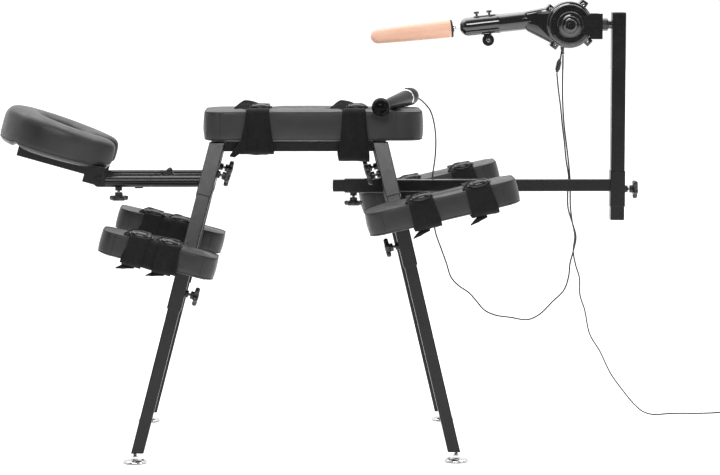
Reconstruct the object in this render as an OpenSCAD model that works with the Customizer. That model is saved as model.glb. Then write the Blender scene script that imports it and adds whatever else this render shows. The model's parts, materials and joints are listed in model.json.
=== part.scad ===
// Padded restraint bench on four telescoping legs, with a face cradle, two arm rests,
// two knee rests, a rear boom with a post, and a reciprocating drive unit on the post.
// The head end is -X, the left side of a person lying on it is -Y, and the floor is Z = 0.

/* [Torso pad] */
// Length of the torso pad
pad_l = 548; // [520:2:600]
// Width of the torso pad
pad_w = 280; // [240:2:290]
// Thickness of the torso pad
pad_t = 74; // [50:1:90]
// Centre of the torso pad along the bench
pad_x = -24; // [-40:1:10]

/* [Frame] */
// Height of the steel frame that carries the torso pad
frame_top = 772; // [740:1:800]
// Side of the outer square tube of the upper legs
outer_tube = 38; // [36:1:42]
// Side of the middle square tube, which slides in the outer one
mid_tube = 35; // [34:1:35]
// Side of the inner square tube of the lower legs and the boom
inner_tube = 30; // [28:1:31]
// Gap between sliding tubes on each side
tube_fit = 0.3; // [0.2:0.05:0.5]
// Length of the outer tubes
outer_l = 145; // [130:1:160]
// Outward splay of the upper legs
splay = 18; // [14:0.5:20]

/* [Legs] */
// Forward lean of the front legs
lean_front = 14.5; // [10:0.1:18]
// Rearward lean of the rear legs
lean_rear = -13.2; // [-18:0.1:-10]
// Place of the front feet along the bench
front_foot_x = -463; // [-480:1:-440]
// Place of the rear feet along the bench
rear_foot_x = 323; // [300:1:340]
// Distance of the feet from the centre line
leg_y = 300; // [290:1:310]
// Width of a foot
foot_d = 60; // [50:1:70]

/* [Rests] */
// Height of the arm rests on their legs
arm_z = 500; // [470:1:520]
// Height of the knee rests on their legs
knee_z = 600; // [580:1:610]
// Length of an arm rest pad
arm_l = 290; // [240:1:310]
// Width of an arm rest pad
arm_w = 136; // [110:1:136]
// Thickness of an arm rest pad
arm_t = 58; // [40:1:70]
// Length of a knee rest pad
knee_l = 375; // [300:1:400]
// Width of a knee rest pad
knee_w = 176; // [140:1:180]
// Thickness of a knee rest pad
knee_t = 60; // [40:1:70]

/* [Face cradle] */
// Outer diameter of the ring cushion
ring_d = 310; // [280:2:320]
// Width of the opening for the face
ring_hole_d = 120; // [100:2:140]
// Thickness of the ring cushion
ring_t = 82; // [60:1:90]
// Tilt of the cradle, head end up
cradle_tilt = 15.8; // [0:0.1:20]

/* [Boom and post] */
// Height of the boom
boom_z = 655; // [650:1:660]
// Place of the post along the bench
post_x = 749; // [720:1:760]
// Lower end of the post
post_bottom = 569; // [560:1:590]
// Upper end of the post
post_top = 1090; // [1085:1:1110]

/* [Drive unit] */
// Place of the drive housing along the bench
drive_x = 622; // [615:1:625]
// Height of the drive housing
drive_z = 1062; // [1055:1:1070]
// Radius of the round housing
drive_r = 59; // [57:0.5:60]
// Nose-down pitch of the drive unit
drive_pitch = 6; // [0:0.5:10]
// Stroke of the rod
stroke = 50; // [30:1:50]
// Diameter of the chrome rod
rod_d = 12; // [10:0.5:12]

/* [Hidden] */
$fn = 48;
eps = 0.01;
cover = 0.3; // gap that keeps a cushion or strap clear of its neighbours
pad_gap = 4; // room for the straps between the frame and the torso pad
pad_bottom = frame_top + pad_gap;
pad_top = pad_bottom + pad_t;
far = 2000;

// Square tubes: outer side, wall, corner radius
outer_wall = (outer_tube - mid_tube - 2 * tube_fit) / 2;
mid_wall = (mid_tube - inner_tube - 2 * tube_fit) / 2;
inner_wall = 2;
corner_r = 2.5;

// Upper legs
splay_top_y = 112;
slide_cover = 108; // length of the middle tube held in the outer one
upper_knob_at = 80;

// Frame under the torso pad
rail_y = 80;
rail_w = 25;
rail_h = 24;
rail_front = -275;
rail_rear = 158;
rear_bar_z = 660;
rear_bar = 25;
boom_sleeve_front = 55;
boom_sleeve_rear = 185;
boom_knob_x = 78;

// Front crossbar and the telescoping head rods
front_bar_z = 674;
front_bar = 30;
head_y = 105;
head_rod_d = 22;
head_sleeve_d = 28;
head_bore_r = head_rod_d / 2 + 0.08;
fixed_sleeve_end = -429;
slider_sleeve_rear = -430;
slider_sleeve_front = -543;
near_knob_x = -510;
far_knob_x = -396;
cradle_x = -560;
ring_x = -122;
// The ring is open towards the torso pad, so that it is a horseshoe
ring_gap = 64;
lug_t = 6;
pin_d = 8;

// Rests
plate_t = 5;
socket_l = 90;
leg_cover = 12; // space above the lower leg inside its socket
arm_pad_x = -69;
arm_pad_z = -2;
knee_pad_x = 107;
knee_pad_z = 5;
arm_straps = [-122, -48];
knee_straps = [58, 199];
arm_strap_w = 48;
knee_strap_w = 60;
torso_straps_x = [-160, 76];
torso_strap_w = 76;
strap_t = 2.5;
socket_knob_at = [-82, -66];

// Feet
foot_t = 9;
stud_d = 10;
stud_clear = 0.06;
leg_end_z = 25;
plug_l = 42;

// Clamp knobs
stem_d = 8;
boss_d = 18;
boss_h = 8;
stem_gap = 0.3;
stem_out = 5;
hub_d = 20;
hub_h = 8;
star_h = 12;
star_lobes = 5;
star_r = 20.6;
star_wave = 3.9;
star_step = 6;

// Boom and post
boom_front = 28;
post_sleeve_z = [601, 691.5];
post_knob_z = 645;

// Drive unit, in its own frame: the pivot is the origin and the nose points along -X
drive_half = 36;
drive_wall = 5;
nose_z = 21;
nose_r = 23.5;
nose_tip = -252;
nose_joint = -105;
crank_r = stroke / 2;
crank_pin_d = 8;
crank_y = [9, 15];
slot_side = 19.5;
slot_wall = 4;
yoke_y = [-4, 4];
rod_end = -310;
attachment_base = -293;
ear_y = 37;
ear_t = 5;
ear_top = 28;
ear_bottom = -36;
mount_x = 76;
mount_t = 6;
nut_d = 29;
nut_w = 17;
relief_x = -20;
relief_y = 12;

// Wand massager lying across the rear end of the torso pad
wand_head = [142, -166, 862];
wand_turn = 18;
wand_rise = 3.2;
wand_head_r = 23;

// Leads: diameter, sides, and the hand-chosen points of each route
lead_d = 4;
lead_sides = 8;
mains_route = [
    [610, 12, 985], [610, 15, 950], [610, 18, 915], [611, 22, 870], [616, 28, 805],
    [625, 34, 740], [632, 38, 680], [634, 40, 640], [635, 42, 600], [640, 46, 560],
    [648, 50, 520], [645, 56, 480], [652, 66, 445], [664, 80, 408], [668, 100, 362],
    [684, 130, 318], [702, 170, 250], [736, 220, 195], [770, 270, 130], [806, 308, 80],
    [846, 335, 32], [870, 346, 12], [900, 358, 2.2], [940, 372, 2.2], [980, 376, 2.2],
    [1020, 374, 2.2], [1060, 380, 2.2], [1090, 392, 2.2], [1108, 396, 2.2]
];
// Point of the route where it comes down to the floor
floor_point = 21;
coil_at = [1114, 370.5];
coil_r = 24;
coil_rows = 2;
coil_layers = 4;
plug_at = [1140, 300];
wand_route = [
    [233, 114, 878], [239, 128, 876], [249, 140, 870], [262, 146, 860], [280, 145, 838],
    [290, 140, 805],
    [294, 132, 765], [292, 122, 720], [286, 112, 680], [282, 104, 645], [281, 98, 610],
    [286, 92, 565], [292, 88, 525], [306, 86, 485], [320, 84, 446], [332, 84, 410],
    [352, 84, 388], [378, 82, 370], [398, 80, 348], [418, 80, 325], [446, 78, 312],
    [486, 76, 306], [530, 76, 300], [560, 76, 313], [594, 78, 346], [624, 80, 376],
    [636, 82, 410], [640, 84, 446], [648, 82, 478], [654, 78, 514], [645, 74, 548],
    [632, 68, 590], [630, 62, 630], [632, 58, 668], [624, 54, 718], [619, 48, 762],
    [613, 40, 802], [607, 30, 850], [598, 6, 900], [593, -4, 940]
];
connector_at = [596, -4, 955];
tail_length = 33;

// ---------- shared shapes ----------

// Square with round corners, drawn from squares and circles
module round_square(w, r, d = 0) {
    h = d == 0 ? w : d;
    union() {
        square([w - 2 * r, h], center = true);
        square([w, h - 2 * r], center = true);
        for (x = [-1, 1], y = [-1, 1])
            translate([x * (w / 2 - r), y * (h / 2 - r)]) circle(r);
    }
}

module bar(side, length) {
    linear_extrude(length) round_square(side, corner_r);
}

module cavity(side, wall, length) {
    inner = side - 2 * wall;
    linear_extrude(length) round_square(inner, 1);
}

module tube(side, wall, length) {
    difference() {
        bar(side, length);
        translate([0, 0, -1]) cavity(side, wall, length + 2);
    }
}

// Cushion: a slab with round corners in plan, centred on X and Y, bottom at z = 0
module cushion(length, width, thick, r) {
    linear_extrude(thick) round_square(length, r, width);
}

// Band round a box: inner size [y, z], width along X, centred
module band(width, inner_y, inner_z) {
    rotate([90, 0, 90]) linear_extrude(width, center = true) difference() {
        square([inner_y + 2 * strap_t, inner_z + 2 * strap_t], center = true);
        square([inner_y, inner_z], center = true);
    }
}

// Hollow buckle frame lying flat, length along Y
module buckle(w, l) {
    linear_extrude(5) difference() {
        round_square(w, 6, l);
        round_square(w - 12, 3, l - 14);
    }
}

module star_knob(stem_in) {
    color("black") {
        translate([0, 0, -stem_in]) cylinder(d = stem_d, h = stem_in + stem_out + 1);
        translate([0, 0, stem_out]) cylinder(d = hub_d, h = hub_h + 1);
        translate([0, 0, stem_out + hub_h]) linear_extrude(star_h)
            polygon([for (a = [0 : star_step : 359])
                (star_r + star_wave * cos(star_lobes * a)) * [cos(a), sin(a)]]);
    }
}

module boss() {
    cylinder(d = boss_d, h = boss_h + 1);
}

module stem_hole() {
    translate([0, 0, -14]) cylinder(r = stem_d / 2 + 0.06, h = 14 + boss_h + 2);
}

// How far a knob's stem reaches in from the boss face to the sliding tube
function stem_reach(side, wall) = boss_h + wall + tube_fit - stem_gap;

// ---------- places ----------

function foot_x(front) = front ? front_foot_x : rear_foot_x;
function lean(front) = front ? lean_front : lean_rear;

// Frame on a leg's line at height z; local -Z runs down along the lower leg
module on_leg(front, z) {
    translate([foot_x(front) + z * tan(lean(front)), 0, z]) rotate([0, lean(front), 0])
        children();
}

// Frame at the top of an upper leg; local -Z runs down along the splayed tube
module on_splay(front, side) {
    on_leg(front, frame_top + 1) translate([0, side * splay_top_y, 0])
        rotate([side * splay, 0, 0]) children();
}

module on_rest(front) {
    on_leg(front, front ? arm_z : knee_z) children();
}

function plate_z(front) = front ? arm_pad_z - arm_t / 2 : knee_pad_z - knee_t / 2;

// Height of the top of the upper leg above a rest's origin, along the leg
function splay_rise(front) =
    (frame_top + 1 - (front ? arm_z : knee_z)) / cos(lean(front));
function plate_run(front) = (splay_rise(front) - plate_z(front)) / cos(splay);

// Knob frames: +Z points away from the tube
module at_upper_knob(front, side) {
    on_splay(front, side)
        translate([(front ? 1 : -1) * (outer_tube / 2 + boss_h), 0, -upper_knob_at])
            rotate([0, front ? 90 : -90, 0]) children();
}

module at_lower_knob(front, side) {
    on_rest(front) at_rest_knob(front, side) children();
}

module at_boom_knob() {
    translate([boom_knob_x, 0, boom_z - mid_tube / 2 - boss_h]) rotate([180, 0, 0]) children();
}

module at_post_knob() {
    translate([post_x + outer_tube / 2 + boss_h, 0, post_knob_z]) rotate([0, 90, 0]) children();
}

module at_cradle_knob_left() {
    translate([near_knob_x, -head_y, front_bar_z - head_sleeve_d / 2 - boss_h])
        rotate([180, 0, 0]) children();
}

module at_cradle_knob_right() {
    translate([far_knob_x, head_y - head_sleeve_d / 2 - boss_h, front_bar_z])
        rotate([90, 0, 0]) children();
}

module on_drive() {
    translate([drive_x, 0, drive_z]) rotate([0, -drive_pitch, 0]) children();
}

module on_cradle() {
    translate([cradle_x, 0, front_bar_z]) rotate([0, cradle_tilt, 0]) children();
}

// ---------- frame ----------

module upper_bars() {
    for (front = [true, false], side = [-1, 1])
        difference() {
            on_splay(front, side) translate([0, 0, -outer_l]) bar(outer_tube, outer_l + 40);
            translate([-far / 2, -far / 2, frame_top]) cube([far, far, 200]);
        }
}

module upper_cavities() {
    for (front = [true, false], side = [-1, 1])
        on_splay(front, side) translate([0, 0, -outer_l - 2])
            cavity(outer_tube, outer_wall, outer_l + 60);
}

module cross_tube(x, z, w, h, half) {
    translate([x - w / 2, -half, z - h / 2]) cube([w, 2 * half, h]);
}

module pad_frame() {
    front_x = front_foot_x + frame_top * tan(lean_front);
    rear_x = rear_foot_x + frame_top * tan(lean_rear);
    bar_x = rear_foot_x + rear_bar_z * tan(lean_rear);
    color([0.08, 0.08, 0.09]) difference() {
        union() {
            for (side = [-1, 1])
                translate([rail_front, side * rail_y - rail_w / 2, frame_top - rail_h])
                    cube([rail_rear - rail_front, rail_w, rail_h]);
            cross_tube(front_x, frame_top - rail_h / 2, 26, rail_h, 125);
            cross_tube(rear_x, frame_top - rail_h / 2, 26, rail_h, 125);
            cross_tube(bar_x, rear_bar_z, rear_bar, rear_bar, 150);
            translate([boom_sleeve_front, 0, boom_z]) rotate([0, 90, 0])
                bar(mid_tube, boom_sleeve_rear - boom_sleeve_front);
            at_boom_knob() translate([0, 0, -boss_h - 1]) boss();
        }
        upper_bars();
        translate([boom_sleeve_front - 5, 0, boom_z]) rotate([0, 90, 0])
            cavity(mid_tube, mid_wall, boom_sleeve_rear - boom_sleeve_front + 10);
        at_boom_knob() stem_hole();
    }
}

module leg_frame() {
    bar_x = front_foot_x + front_bar_z * tan(lean_front);
    color([0.08, 0.08, 0.09]) difference() {
        union() {
            upper_bars();
            for (front = [true, false], side = [-1, 1])
                at_upper_knob(front, side) translate([0, 0, -boss_h - 1]) boss();
            cross_tube(bar_x, front_bar_z, front_bar, front_bar, 140);
            for (side = [-1, 1])
                translate([fixed_sleeve_end, side * head_y, front_bar_z]) rotate([0, 90, 0])
                    cylinder(d = head_sleeve_d, h = bar_x - fixed_sleeve_end);
            at_cradle_knob_right() translate([0, 0, -boss_h - 1]) boss();
        }
        upper_cavities();
        for (side = [-1, 1])
            translate([fixed_sleeve_end - 1, side * head_y, front_bar_z]) rotate([0, 90, 0])
                cylinder(r = head_bore_r, h = bar_x - fixed_sleeve_end);
        for (front = [true, false], side = [-1, 1]) at_upper_knob(front, side) stem_hole();
        at_cradle_knob_right() stem_hole();
    }
}

module main_pad() {
    color([0.2, 0.2, 0.2]) translate([pad_x, 0, pad_bottom]) cushion(pad_l, pad_w, pad_t, 40);
}

module torso_straps() {
    low = frame_top - rail_h - cover;
    color([0.1, 0.1, 0.1]) for (x = torso_straps_x)
        translate([x, 0, (low + pad_top + cover) / 2])
            band(torso_strap_w, pad_w + 2 * cover, pad_top + cover - low);
}

module torso_buckles() {
    color("black") for (x = torso_straps_x)
        translate([x, -80, pad_top + 2 * cover + strap_t]) buckle(46, 62);
}

// ---------- arm and knee rests ----------

module rest_bracket(front, side) {
    top = plate_z(front);
    run = plate_run(front);
    held = outer_l - slide_cover;
    strip = front ? [-190, 55] : [-60, 250];
    color([0.08, 0.08, 0.09]) on_rest(front) difference() {
        union() {
            // splayed tube that slides in the upper leg
            intersection() {
                translate([0, side * splay_top_y, splay_rise(front)])
                    rotate([side * splay, 0, 0]) translate([0, 0, -run - 30])
                        tube(mid_tube, mid_wall, run + 30 - held);
                translate([-far / 2, -far / 2, top - 1]) cube([far, far, far]);
            }
            // plate across to the lower leg, and the strip that the pad is screwed to
            translate([-20, side > 0 ? 180 : -325, top - plate_t]) cube([40, 145, plate_t]);
            translate([strip[0], side * leg_y - 20, top - plate_t])
                cube([strip[1] - strip[0], 40, plate_t]);
            // socket for the lower leg
            translate([0, side * leg_y, top - plate_t - socket_l]) bar(mid_tube, socket_l + 1);
            at_rest_knob(front, side) translate([0, 0, -boss_h - 1]) boss();
        }
        translate([0, side * leg_y, top - plate_t - socket_l - 1])
            cavity(mid_tube, mid_wall, socket_l + 1);
        at_rest_knob(front, side) stem_hole();
    }
}

// Lower knob place in a rest's own frame
module at_rest_knob(front, side) {
    translate([(front ? 1 : -1) * (mid_tube / 2 + boss_h), side * leg_y,
               socket_knob_at[front ? 0 : 1]])
        rotate([0, front ? 90 : -90, 0]) children();
}

function rest_pad_y(front) = front ? 234 + arm_w / 2 : leg_y;

module rest_pad(front, side) {
    color([0.2, 0.2, 0.2]) on_rest(front)
        translate([front ? arm_pad_x : knee_pad_x, side * rest_pad_y(front),
                   plate_z(front) + cover])
            cushion(front ? arm_l : knee_l, front ? arm_w : knee_w,
                    (front ? arm_t : knee_t) - cover, front ? 34 : 42);
}

module rest_straps(front, side) {
    width = front ? arm_w : knee_w;
    low = plate_z(front) - plate_t - cover;
    high = plate_z(front) + (front ? arm_t : knee_t) + cover;
    on_rest(front) for (x = front ? arm_straps : knee_straps)
        translate([x, side * rest_pad_y(front), 0]) {
            color([0.1, 0.1, 0.1]) translate([0, 0, (low + high) / 2])
                band(front ? arm_strap_w : knee_strap_w, width + 2 * cover, high - low);
            color("black") translate([0, -width / 5, high + strap_t]) buckle(30, 50);
        }
}

module lower_leg(front, side) {
    color([0.08, 0.08, 0.09]) difference() {
        on_rest(front) translate([0, side * leg_y, 0]) {
            top = plate_z(front) - plate_t - leg_cover;
            run = (front ? arm_z : knee_z) / cos(lean(front));
            translate([0, 0, -run - 20]) {
                tube(inner_tube, inner_wall, top + run + 20);
                translate([0, 0, 20]) linear_extrude(plug_l) square(inner_tube - 3, center = true);
            }
            translate([0, 0, top - 6]) linear_extrude(6) square(inner_tube - 3, center = true);
        }
        translate([-far / 2, -far / 2, leg_end_z - 100]) cube([far, far, 100]);
        foot_place(front, side) translate([0, 0, -1])
            cylinder(r = stud_d / 2 + stud_clear, h = plug_l + 2);
    }
}

module foot_place(front, side) {
    translate([foot_x(front), side * leg_y, 0]) children();
}

module foot(front, side) {
    foot_place(front, side) {
        color("white") cylinder(d1 = foot_d, d2 = foot_d - 8, h = foot_t);
        color("silver") cylinder(d = stud_d, h = plug_l - 2);
        color([0.1, 0.1, 0.1]) translate([0, 0, foot_t]) cylinder(d = 18, h = 8, $fn = 6);
    }
}

// ---------- face cradle ----------

module head_rods() {
    color([0.12, 0.12, 0.13]) for (side = [-1, 1])
        translate([slider_sleeve_front + 8, side * head_y, front_bar_z]) rotate([0, 90, 0])
            cylinder(d = head_rod_d, h = 220);
}

module cradle_slider() {
    color([0.08, 0.08, 0.09]) difference() {
        union() {
            for (side = [-1, 1]) {
                translate([slider_sleeve_front, side * head_y, front_bar_z]) rotate([0, 90, 0])
                    cylinder(d = head_sleeve_d, h = slider_sleeve_rear - slider_sleeve_front);
                // lug that the tray's pin turns in
                translate([cradle_x, side * (head_y + 3), front_bar_z]) {
                    rotate([90, 0, 0]) cylinder(d = 26, h = lug_t, center = true);
                    translate([0, -lug_t / 2, -13]) cube([20, lug_t, 26]);
                }
            }
            translate([-470, -head_y, front_bar_z - head_sleeve_d / 2 - 3])
                cube([20, 2 * head_y, 6]);
            at_cradle_knob_left() translate([0, 0, -boss_h - 1]) boss();
        }
        for (side = [-1, 1]) {
            translate([slider_sleeve_front, side * head_y, front_bar_z]) rotate([0, 90, 0])
                translate([0, 0, 4]) cylinder(r = head_bore_r, h = 200);
            translate([cradle_x, side * (head_y + 3), front_bar_z]) rotate([90, 0, 0])
                cylinder(r = pin_d / 2 + 0.05, h = 3 * lug_t, center = true);
        }
        at_cradle_knob_left() stem_hole();
    }
}

module cradle_tray() {
    wing = 102;
    color([0.07, 0.07, 0.08]) on_cradle() difference() {
        union() {
            translate([-218, -wing, 33]) cube([225, 2 * wing, 4]);
            for (side = [-1, 1]) {
                translate([-214, side * (wing - 2) - 2, 8]) cube([209, 4, 27]);
                translate([-40, side * (wing - 2) - 2, -11]) cube([46, 4, 46]);
                // hinge pin, with a washer that keeps the flange off the lug
                translate([0, side * wing, 0]) rotate([side * -90, 0, 0]) {
                    cylinder(d = pin_d, h = 14);
                    cylinder(d = 14, h = 2.5);
                }
            }
        }
        translate([ring_x, 0, 20]) cylinder(d = ring_hole_d, h = 30);
    }
}

module cradle_pad() {
    r = 24;
    mid = (ring_d + ring_hole_d) / 4;
    color([0.2, 0.2, 0.2]) on_cradle() translate([ring_x, 0, 37 + cover]) difference() {
        rotate_extrude($fn = 64) translate([mid, ring_t / 2])
            round_square((ring_d - ring_hole_d) / 2, r, ring_t);
        translate([0, -ring_gap / 2, -1]) cube([ring_d, ring_gap, ring_t + 2]);
    }
}

// ---------- boom and post ----------

module boom() {
    left = post_x - outer_tube / 2;
    low = post_sleeve_z[0];
    color([0.08, 0.08, 0.09]) difference() {
        union() {
            translate([boom_front, 0, boom_z]) rotate([0, 90, 0]) {
                tube(inner_tube, inner_wall, left + 1 - boom_front);
                linear_extrude(4) square(inner_tube - 3, center = true);
            }
            translate([post_x, 0, low]) bar(outer_tube, post_sleeve_z[1] - low);
            at_post_knob() translate([0, 0, -boss_h - 1]) boss();
        }
        translate([post_x, 0, low - 1])
            cavity(outer_tube, outer_wall, post_sleeve_z[1] - low + 2);
        at_post_knob() stem_hole();
    }
}

module post() {
    color([0.08, 0.08, 0.09]) difference() {
        translate([post_x, 0, post_bottom]) {
            tube(mid_tube, mid_wall, post_top - post_bottom);
            for (z = [0, post_top - post_bottom - 4]) translate([0, 0, z])
                linear_extrude(4) square(mid_tube - 2, center = true);
        }
        translate([post_x - mid_tube, 0, drive_z]) rotate([0, 90, 0])
            cylinder(r = 6.1, h = mid_tube);
    }
}

// ---------- drive unit ----------

module drive_mount() {
    color("black") translate([drive_x, 0, drive_z]) {
        for (side = [-1, 1])
            translate([0, side * (ear_y + ear_t / 2), 0]) {
                difference() {
                    union() {
                        rotate([90, 0, 0]) cylinder(r = 24, h = ear_t, center = true);
                        translate([0, -ear_t / 2, -24]) cube([mount_x, ear_t, 48]);
                        translate([50, -ear_t / 2, ear_bottom])
                            cube([mount_x - 50, ear_t, ear_top - ear_bottom]);
                    }
                    rotate([90, 0, 0]) cylinder(r = 6.05, h = 20, center = true);
                }
            }
        translate([mount_x, -ear_y - ear_t, ear_bottom])
            cube([mount_t, 2 * (ear_y + ear_t), ear_top - ear_bottom]);
        // threaded stud into the post
        translate([mount_x + mount_t - 1, 0, 0]) rotate([0, 90, 0])
            cylinder(d = 12, h = post_x - drive_x - mount_x - mount_t + 1);
        translate([mount_x + mount_t + nut_w + 2, 0, 0]) rotate([0, 90, 0])
            cylinder(d = 22, h = post_x - mid_tube / 2 - drive_x - mount_x - mount_t - nut_w - 2);
    }
}

module mount_nut() {
    color("black") translate([drive_x + mount_x + mount_t + 1, 0, drive_z]) rotate([0, 90, 0])
        difference() {
            union() {
                cylinder(d = nut_d, h = nut_w);
                for (i = [0 : 7]) rotate([0, 0, i * 45]) translate([nut_d / 2 - 1, 0, 3])
                    cylinder(d = 4, h = nut_w - 6, $fn = 16);
            }
            translate([0, 0, -1]) cylinder(r = 6.06, h = nut_w + 2);
        }
}

// Outline of the fairing between the round body and the nose, seen from the side
module fairing_outline() {
    polygon([[nose_joint, nose_z + nose_r], [-38, 50], [0, 30], [0, -30],
             [-44, -46], [nose_joint, nose_z - nose_r]]);
}

module drive_lugs(depth) {
    for (a = [50, 135, 228, 312]) rotate([0, 0, a]) translate([drive_r + 2, 0, 0])
        linear_extrude(depth) round_square(18, 3);
}

// One half of the housing on the +Y side, with its pivot, and the round cap outside the ear
module housing_shell() {
    difference() {
        rotate([90, 0, 0]) mirror([0, 0, 1]) {
            linear_extrude(nose_r) fairing_outline();
            cylinder(r = drive_r, h = drive_half - 3);
            cylinder(r = drive_r - 8, h = drive_half);
            drive_lugs(15);
            cylinder(r = 6, h = ear_y + ear_t + 1);
            translate([0, 0, ear_y + ear_t + 0.5]) {
                cylinder(r = 33, h = 4);
                cylinder(r = 22, h = 8);
                cylinder(r = 14, h = 16);
            }
        }
        // inside: round chamber, and the bore along the nose
        rotate([90, 0, 0]) cylinder(r = drive_r - drive_wall, h = 2 * (drive_half - drive_wall),
                                    center = true);
        translate([nose_joint - 1, 0, nose_z]) rotate([0, 90, 0]) cylinder(r = 15, h = 100);
    }
}

module housing_left() {
    color("black") on_drive() mirror([0, 1, 0]) housing_shell();
}

module housing_right() {
    color("black") on_drive() difference() {
        union() {
            housing_shell();
            translate([relief_x, relief_y, -74]) cylinder(d1 = 7, d2 = 10, h = 22);
        }
        translate([relief_x, relief_y, -75]) cylinder(d = 4, h = 30);
    }
}

module nose_barrel() {
    color("black") on_drive() difference() {
        union() {
            translate([nose_joint, 0, nose_z]) rotate([0, -90, 0]) {
                cylinder(r = nose_r, h = nose_joint - nose_tip);
                translate([0, 0, nose_joint - nose_tip]) sphere(nose_r);
            }
            translate([-238, -9, nose_z + nose_r - 3]) cube([56, 18, 5]);
            for (x = [-229, -197]) translate([x, 0, nose_z + nose_r]) {
                cylinder(d = 6, h = 8);
                translate([0, 0, 7]) cylinder(d = 12, h = 6);
            }
            translate([-207, 0, -17]) rotate([90, 0, 0]) cylinder(r = 15, h = 30, center = true);
            translate([-217, -12, -17]) cube([20, 24, 20]);
        }
        translate([nose_tip + 6, 0, nose_z]) rotate([0, 90, 0])
            cylinder(r = 15, h = nose_joint - nose_tip);
        translate([nose_tip - nose_r - 5, 0, nose_z]) rotate([0, 90, 0])
            cylinder(r = rod_d / 2 + 0.05, h = 60);
    }
}

module gearmotor() {
    color("silver") on_drive() rotate([-90, 0, 0]) {
        translate([0, 0, crank_y[1] + 2]) cylinder(r = 42, h = drive_half - drive_wall - crank_y[1] - 2.5);
        translate([0, 0, crank_y[0] + 2]) cylinder(r = 4, h = 10);
    }
}

module crank_disc() {
    color([0.6, 0.6, 0.62]) on_drive() rotate([-90, 0, 0]) difference() {
        union() {
            translate([0, 0, crank_y[0]]) cylinder(r = crank_r + 8, h = crank_y[1] - crank_y[0]);
            translate([crank_r, 0, yoke_y[0]])
                cylinder(d = crank_pin_d, h = crank_y[0] - yoke_y[0] + 1);
        }
        translate([0, 0, crank_y[0] + 1.5]) cylinder(r = 4.05, h = 20);
    }
}

// Slotted plate that the crank pin drives, with the foot that carries the rod
module slider_yoke() {
    height = 2 * crank_r + crank_pin_d + 2;
    depth = yoke_y[1] - yoke_y[0];
    color([0.6, 0.6, 0.62]) on_drive() {
        translate([crank_r, yoke_y[0], 0]) difference() {
            translate([-slot_side / 2 - slot_wall, 0, -height / 2 - slot_wall])
                cube([slot_side + 2 * slot_wall, depth, height + 2 * slot_wall]);
            translate([-slot_side / 2, -1, -height / 2]) cube([slot_side, depth + 2, height]);
        }
        translate([crank_r - slot_side / 2 - slot_wall - 14, -8, nose_z - 8]) difference() {
            cube([14 + eps, 16, 16]);
            translate([-1, 8, 8]) rotate([0, 90, 0]) cylinder(r = rod_d / 2 + 0.02, h = 13);
        }
    }
}

module chrome_rod() {
    rear = crank_r - slot_side / 2 - slot_wall - 3;
    color([0.8, 0.8, 0.82]) on_drive() translate([rod_end, 0, nose_z]) rotate([0, 90, 0])
        cylinder(d = rod_d, h = rear - rod_end);
}

// Smooth tapered silicone piece on the rod
module attachment() {
    color([0.9, 0.72, 0.6]) on_drive() translate([attachment_base, 0, nose_z]) rotate([0, -90, 0])
        difference() {
            rotate_extrude() polygon([
                [0, 0], [20, 0], [22, 4], [21, 60], [20, 120], [18.5, 170],
                for (a = [0 : 10 : 90]) [18 * cos(a), 188 + 20 * sin(a)]
            ]);
            translate([0, 0, -1]) cylinder(r = rod_d / 2 + 0.05, h = 22);
        }
}

// ---------- wand massager and leads ----------

module on_wand() {
    translate(wand_head) rotate([0, 0, -wand_turn]) rotate([wand_rise - 90, 0, 0]) children();
}

module wand_body() {
    color([0.05, 0.05, 0.05]) on_wand() difference() {
        union() {
            sphere(wand_head_r);
            cylinder(r = 10, h = 40);
            rotate_extrude() polygon([
                [0, 30], [12, 30], [14, 60], [16, 100], [17.5, 150], [19, 200], [21, 235],
                [23, 262], for (a = [0 : 15 : 90]) [9 + 14 * cos(a), 278 + 14 * sin(a)], [0, 292]
            ]);
        }
        translate([0, -30, 246]) rotate([90, 0, 0]) translate([0, 0, -16.5]) cylinder(d = 14.2, h = 30);
    }
}

module wand_button() {
    color([0.2, 0.2, 0.2]) on_wand() translate([0, -15.5, 246]) rotate([90, 0, 0])
        cylinder(d = 14, h = 8);
}

// Ring of a swept tube: centre p, direction t
function unit(v) = v / norm(v);
function side_of(t) = unit(cross(t, abs(t[2]) > 0.9 ? [1, 0, 0] : [0, 0, 1]));
function ring(p, t, r, n) = [
    for (k = [0 : n - 1]) let (u = side_of(t), w = cross(unit(t), u), a = k * 360 / n)
        p + r * (cos(a) * u + sin(a) * w)
];
function direction(path, i) =
    unit(path[min(i + 1, len(path) - 1)] - path[max(i - 1, 0)]);

module swept(path, r, n) {
    m = len(path);
    points = [for (i = [0 : m - 1]) each ring(path[i], direction(path, i), r, n)];
    sides = [for (i = [0 : m - 2], k = [0 : n - 1])
        [(i + 1) * n + k, (i + 1) * n + (k + 1) % n, i * n + (k + 1) % n, i * n + k]];
    ends = [[for (k = [0 : n - 1]) k], [for (k = [n - 1 : -1 : 0]) (m - 1) * n + k]];
    polyhedron(points = points, faces = concat(sides, ends), convexity = 8);
}

module mains_lead() {
    color([0.1, 0.1, 0.1])
        swept([for (i = [0 : floor_point]) mains_route[i]], lead_d / 2, lead_sides);
}

// The coil, with the stretch of the power lead that lies on the floor
module mains_coil() {
    wide = coil_rows * lead_d;
    color([0.1, 0.1, 0.1]) {
        translate([coil_at[0], coil_at[1], 0.1]) rotate_extrude()
            translate([coil_r - wide / 2, 0]) square([wide, coil_layers * lead_d]);
        swept([for (i = [floor_point : len(mains_route) - 1]) mains_route[i]], lead_d / 2,
              lead_sides);
    }
}

module mains_plug() {
    color([0.1, 0.1, 0.1]) translate([plug_at[0], plug_at[1], 0.1]) {
        translate([-17, -22, 0]) cube([34, 40, 26]);
        for (x = [-9.5, 9.5]) translate([x, -22, 13]) rotate([90, 0, 0])
            cylinder(d = 4, h = 19);
    }
}

module wand_lead() {
    color([0.1, 0.1, 0.1]) swept(wand_route, lead_d / 2, lead_sides);
}

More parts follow.
